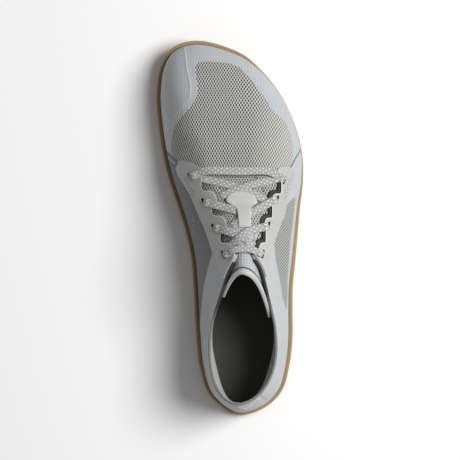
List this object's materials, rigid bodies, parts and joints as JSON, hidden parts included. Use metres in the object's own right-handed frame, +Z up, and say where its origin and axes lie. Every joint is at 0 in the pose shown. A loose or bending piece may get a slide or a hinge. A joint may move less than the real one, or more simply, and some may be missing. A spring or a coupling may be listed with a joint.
{
  "type": "barefoot shoe",
  "caption": "Low knitted barefoot shoe for the right foot with a wide toe box, flat gum rubber cup sole, hexagon tread and flat lace.",
  "frame": {"origin": "on the floor under the middle of the shoe's bounding box", "axes": "+Y from heel to toe, +X to the outer side of the foot, +Z up"},
  "size_m": [0.1114, 0.2833, 0.091],
  "materials": {
    "gum_rubber": "matt moulded gum rubber",
    "footbed": "dark woven top cloth on foam",
    "knit": "light grey knit with an open mesh window",
    "tongue_fabric": "fine light grey fabric",
    "overlay": "smooth matt film fused on the knit",
    "binding": "olive grey speckled tape",
    "lace": "flat braid with small light dots",
    "keeper": "smooth matt film"
  },
  "bodies": {
    "root": {"outsole": "gum_rubber", "insole": "footbed", "upper": "knit", "tongue": "tongue_fabric", "eyestay_medial": "overlay", "eyestay_lateral": "overlay", "collar_binding": "binding", "lace_bar_front": "lace", "lace_cross_lower": "lace", "lace_cross_middle": "lace", "lace_cross_upper": "lace", "lace_bar_top": "lace", "tongue_keeper": "keeper"}
  },
  "joints": []
}
